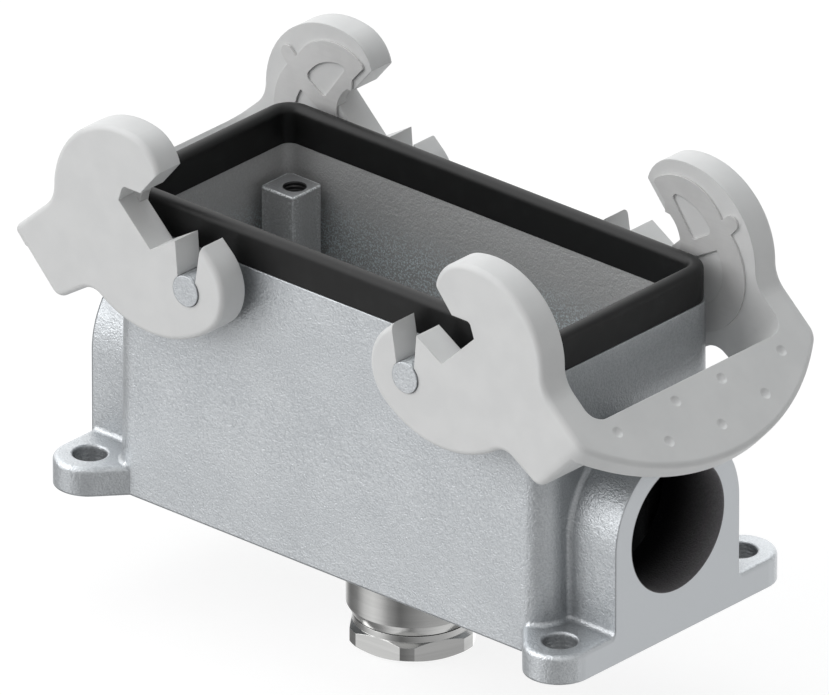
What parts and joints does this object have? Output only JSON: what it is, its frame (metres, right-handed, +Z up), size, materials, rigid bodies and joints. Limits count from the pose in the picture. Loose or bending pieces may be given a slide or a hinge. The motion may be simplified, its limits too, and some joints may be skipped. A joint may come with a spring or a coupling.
{
  "type": "heavy duty rectangular connector base",
  "caption": "Surface mounting base of a heavy duty rectangular connector: die-cast housing with rim gasket, locking levers, side cable entries and a cable gland in its floor.",
  "frame": {"origin": "in the plane of the feet's undersides, at the middle of the rectangle of the foot holes, on the axis of the cable gland", "axes": "+Z up out of the open top of the housing, +X along the housing towards one side entry, +Y across it"},
  "size_m": [0.1432, 0.0594, 0.0914],
  "materials": {
    "die_casting": "silver grey coating with a fine cast grain",
    "seal_rubber": "smooth black moulded rubber, satin",
    "lever_plastic": "light grey moulded plastic with a soft sheen",
    "cam_metal": "plain stamped steel, matt grey",
    "gland_metal": "nickel plated, turned and bright",
    "gland_rubber": "black moulded rubber, matt",
    "slip_ring_plastic": "black moulded plastic"
  },
  "bodies": {
    "base": {"housing": "die_casting", "rim_gasket": "seal_rubber", "gland_body": "gland_metal", "gland_o_ring": "gland_rubber", "gland_grommet": "gland_rubber"},
    "right_lever": {"lever_right": "lever_plastic", "lever_right_plate_front": "cam_metal", "lever_right_plate_back": "cam_metal"},
    "left_lever": {"lever_left": "lever_plastic", "lever_left_plate_front": "cam_metal", "lever_left_plate_back": "cam_metal"},
    "slip_ring": {"gland_slip_ring": "slip_ring_plastic"},
    "pressure_screw": {"gland_pressure_screw": "gland_metal"}
  },
  "joints": [
    {"name": "right_lever_hinge", "type": "hinge", "parent": "base", "child": "right_lever", "pos_m": [0.0244, 0, 0.04685], "axis": [0, -1, 0], "range_deg": [0, 58]},
    {"name": "left_lever_hinge", "type": "hinge", "parent": "base", "child": "left_lever", "pos_m": [-0.0244, 0, 0.04685], "axis": [0, 1, 0], "range_deg": [0, 58]},
    {"name": "pressure_screw_travel", "type": "slide", "parent": "base", "child": "slip_ring", "axis": [0, 0, -1], "range_m": [0, 0.00301]},
    {"name": "pressure_screw_turn", "type": "hinge", "parent": "slip_ring", "child": "pressure_screw", "pos_m": [0, 0, -0.0155], "axis": [0, 0, -1], "range_deg": [0, 1080]}
  ],
  "couplings": [
    {"joint": "pressure_screw_travel", "follows": "pressure_screw_turn", "m_per_rad": 0.00015915}
  ]
}
